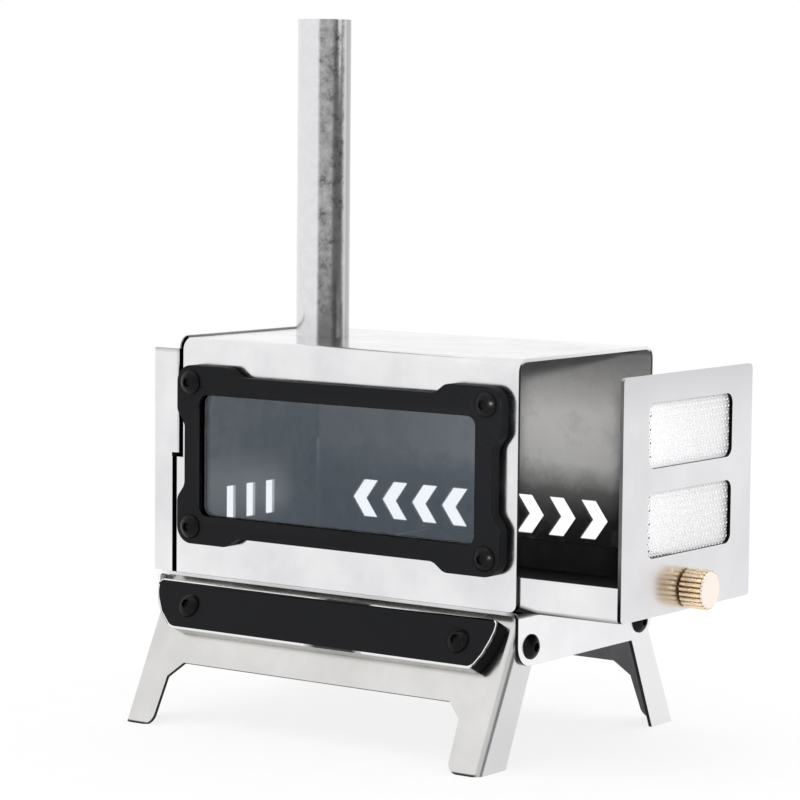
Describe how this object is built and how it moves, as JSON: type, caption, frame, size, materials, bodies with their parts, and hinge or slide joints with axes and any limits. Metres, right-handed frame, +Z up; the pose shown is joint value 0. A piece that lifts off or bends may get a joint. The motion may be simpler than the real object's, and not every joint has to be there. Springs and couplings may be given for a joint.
{
  "type": "twig stove",
  "caption": "Small folded-steel twig stove with a framed glass window, a slide-out fuel drawer with mesh vents, a lift-off chimney tube and folding leg plates.",
  "frame": {"origin": "on the ground under the middle of the whole stove's box, with the drawer part way out", "axes": "+X towards the drawer end, +Y from the window side to the back, +Z up along the chimney"},
  "size_m": [0.1848, 0.1116, 0.2224],
  "materials": {
    "stainless": "bright satin rolled stainless sheet",
    "tube_steel": "drawn stainless tube with worn, stained patches",
    "black_coat": "matte black coating with broken edges",
    "black_oxide": "black oxide screw steel",
    "glass": "grey tinted heat-proof glass",
    "fibre": "pressed fibre gasket",
    "mesh_wire": "bright woven steel mesh",
    "brass": "turned brass with a straight knurl"
  },
  "bodies": {
    "stove": {"base_plate": "stainless", "shell": "stainless", "end_cover": "stainless", "flue_collar": "tube_steel", "window_frame": "black_coat", "window_glass": "glass", "glass_seal": "fibre", "frame_screws": "black_oxide", "frame_nuts": "black_oxide", "pivot_screws": "black_oxide", "pivot_nuts": "black_oxide"},
    "chimney_tube": {"chimney": "tube_steel"},
    "drawer": {"drawer_tray": "stainless", "drawer_front": "stainless", "mesh_screen": "mesh_wire", "drawer_knob": "brass", "knob_screw": "black_oxide"},
    "leg_front": {"front_leg": "stainless", "front_bar": "black_coat", "front_bar_screws": "black_oxide", "front_bar_nuts": "black_oxide"},
    "leg_rear": {"rear_leg": "stainless", "rear_bar": "black_coat", "rear_bar_screws": "black_oxide", "rear_bar_nuts": "black_oxide"}
  },
  "joints": [
    {"name": "drawer_slide", "type": "slide", "parent": "stove", "child": "drawer", "axis": [1, 0, 0], "range_m": [-0.0345, 0.045]},
    {"name": "front_leg_fold", "type": "hinge", "parent": "stove", "child": "leg_front", "pos_m": [-0.02058, -0.0306, 0.0356], "axis": [1, 0, 0], "range_deg": [0, 115]},
    {"name": "rear_leg_fold", "type": "hinge", "parent": "stove", "child": "leg_rear", "pos_m": [-0.02058, 0.0306, 0.0356], "axis": [-1, 0, 0], "range_deg": [0, 76]},
    {"name": "chimney_lift", "type": "slide", "parent": "stove", "child": "chimney_tube", "axis": [0, 0, 1], "range_m": [0, 0.03]}
  ]
}
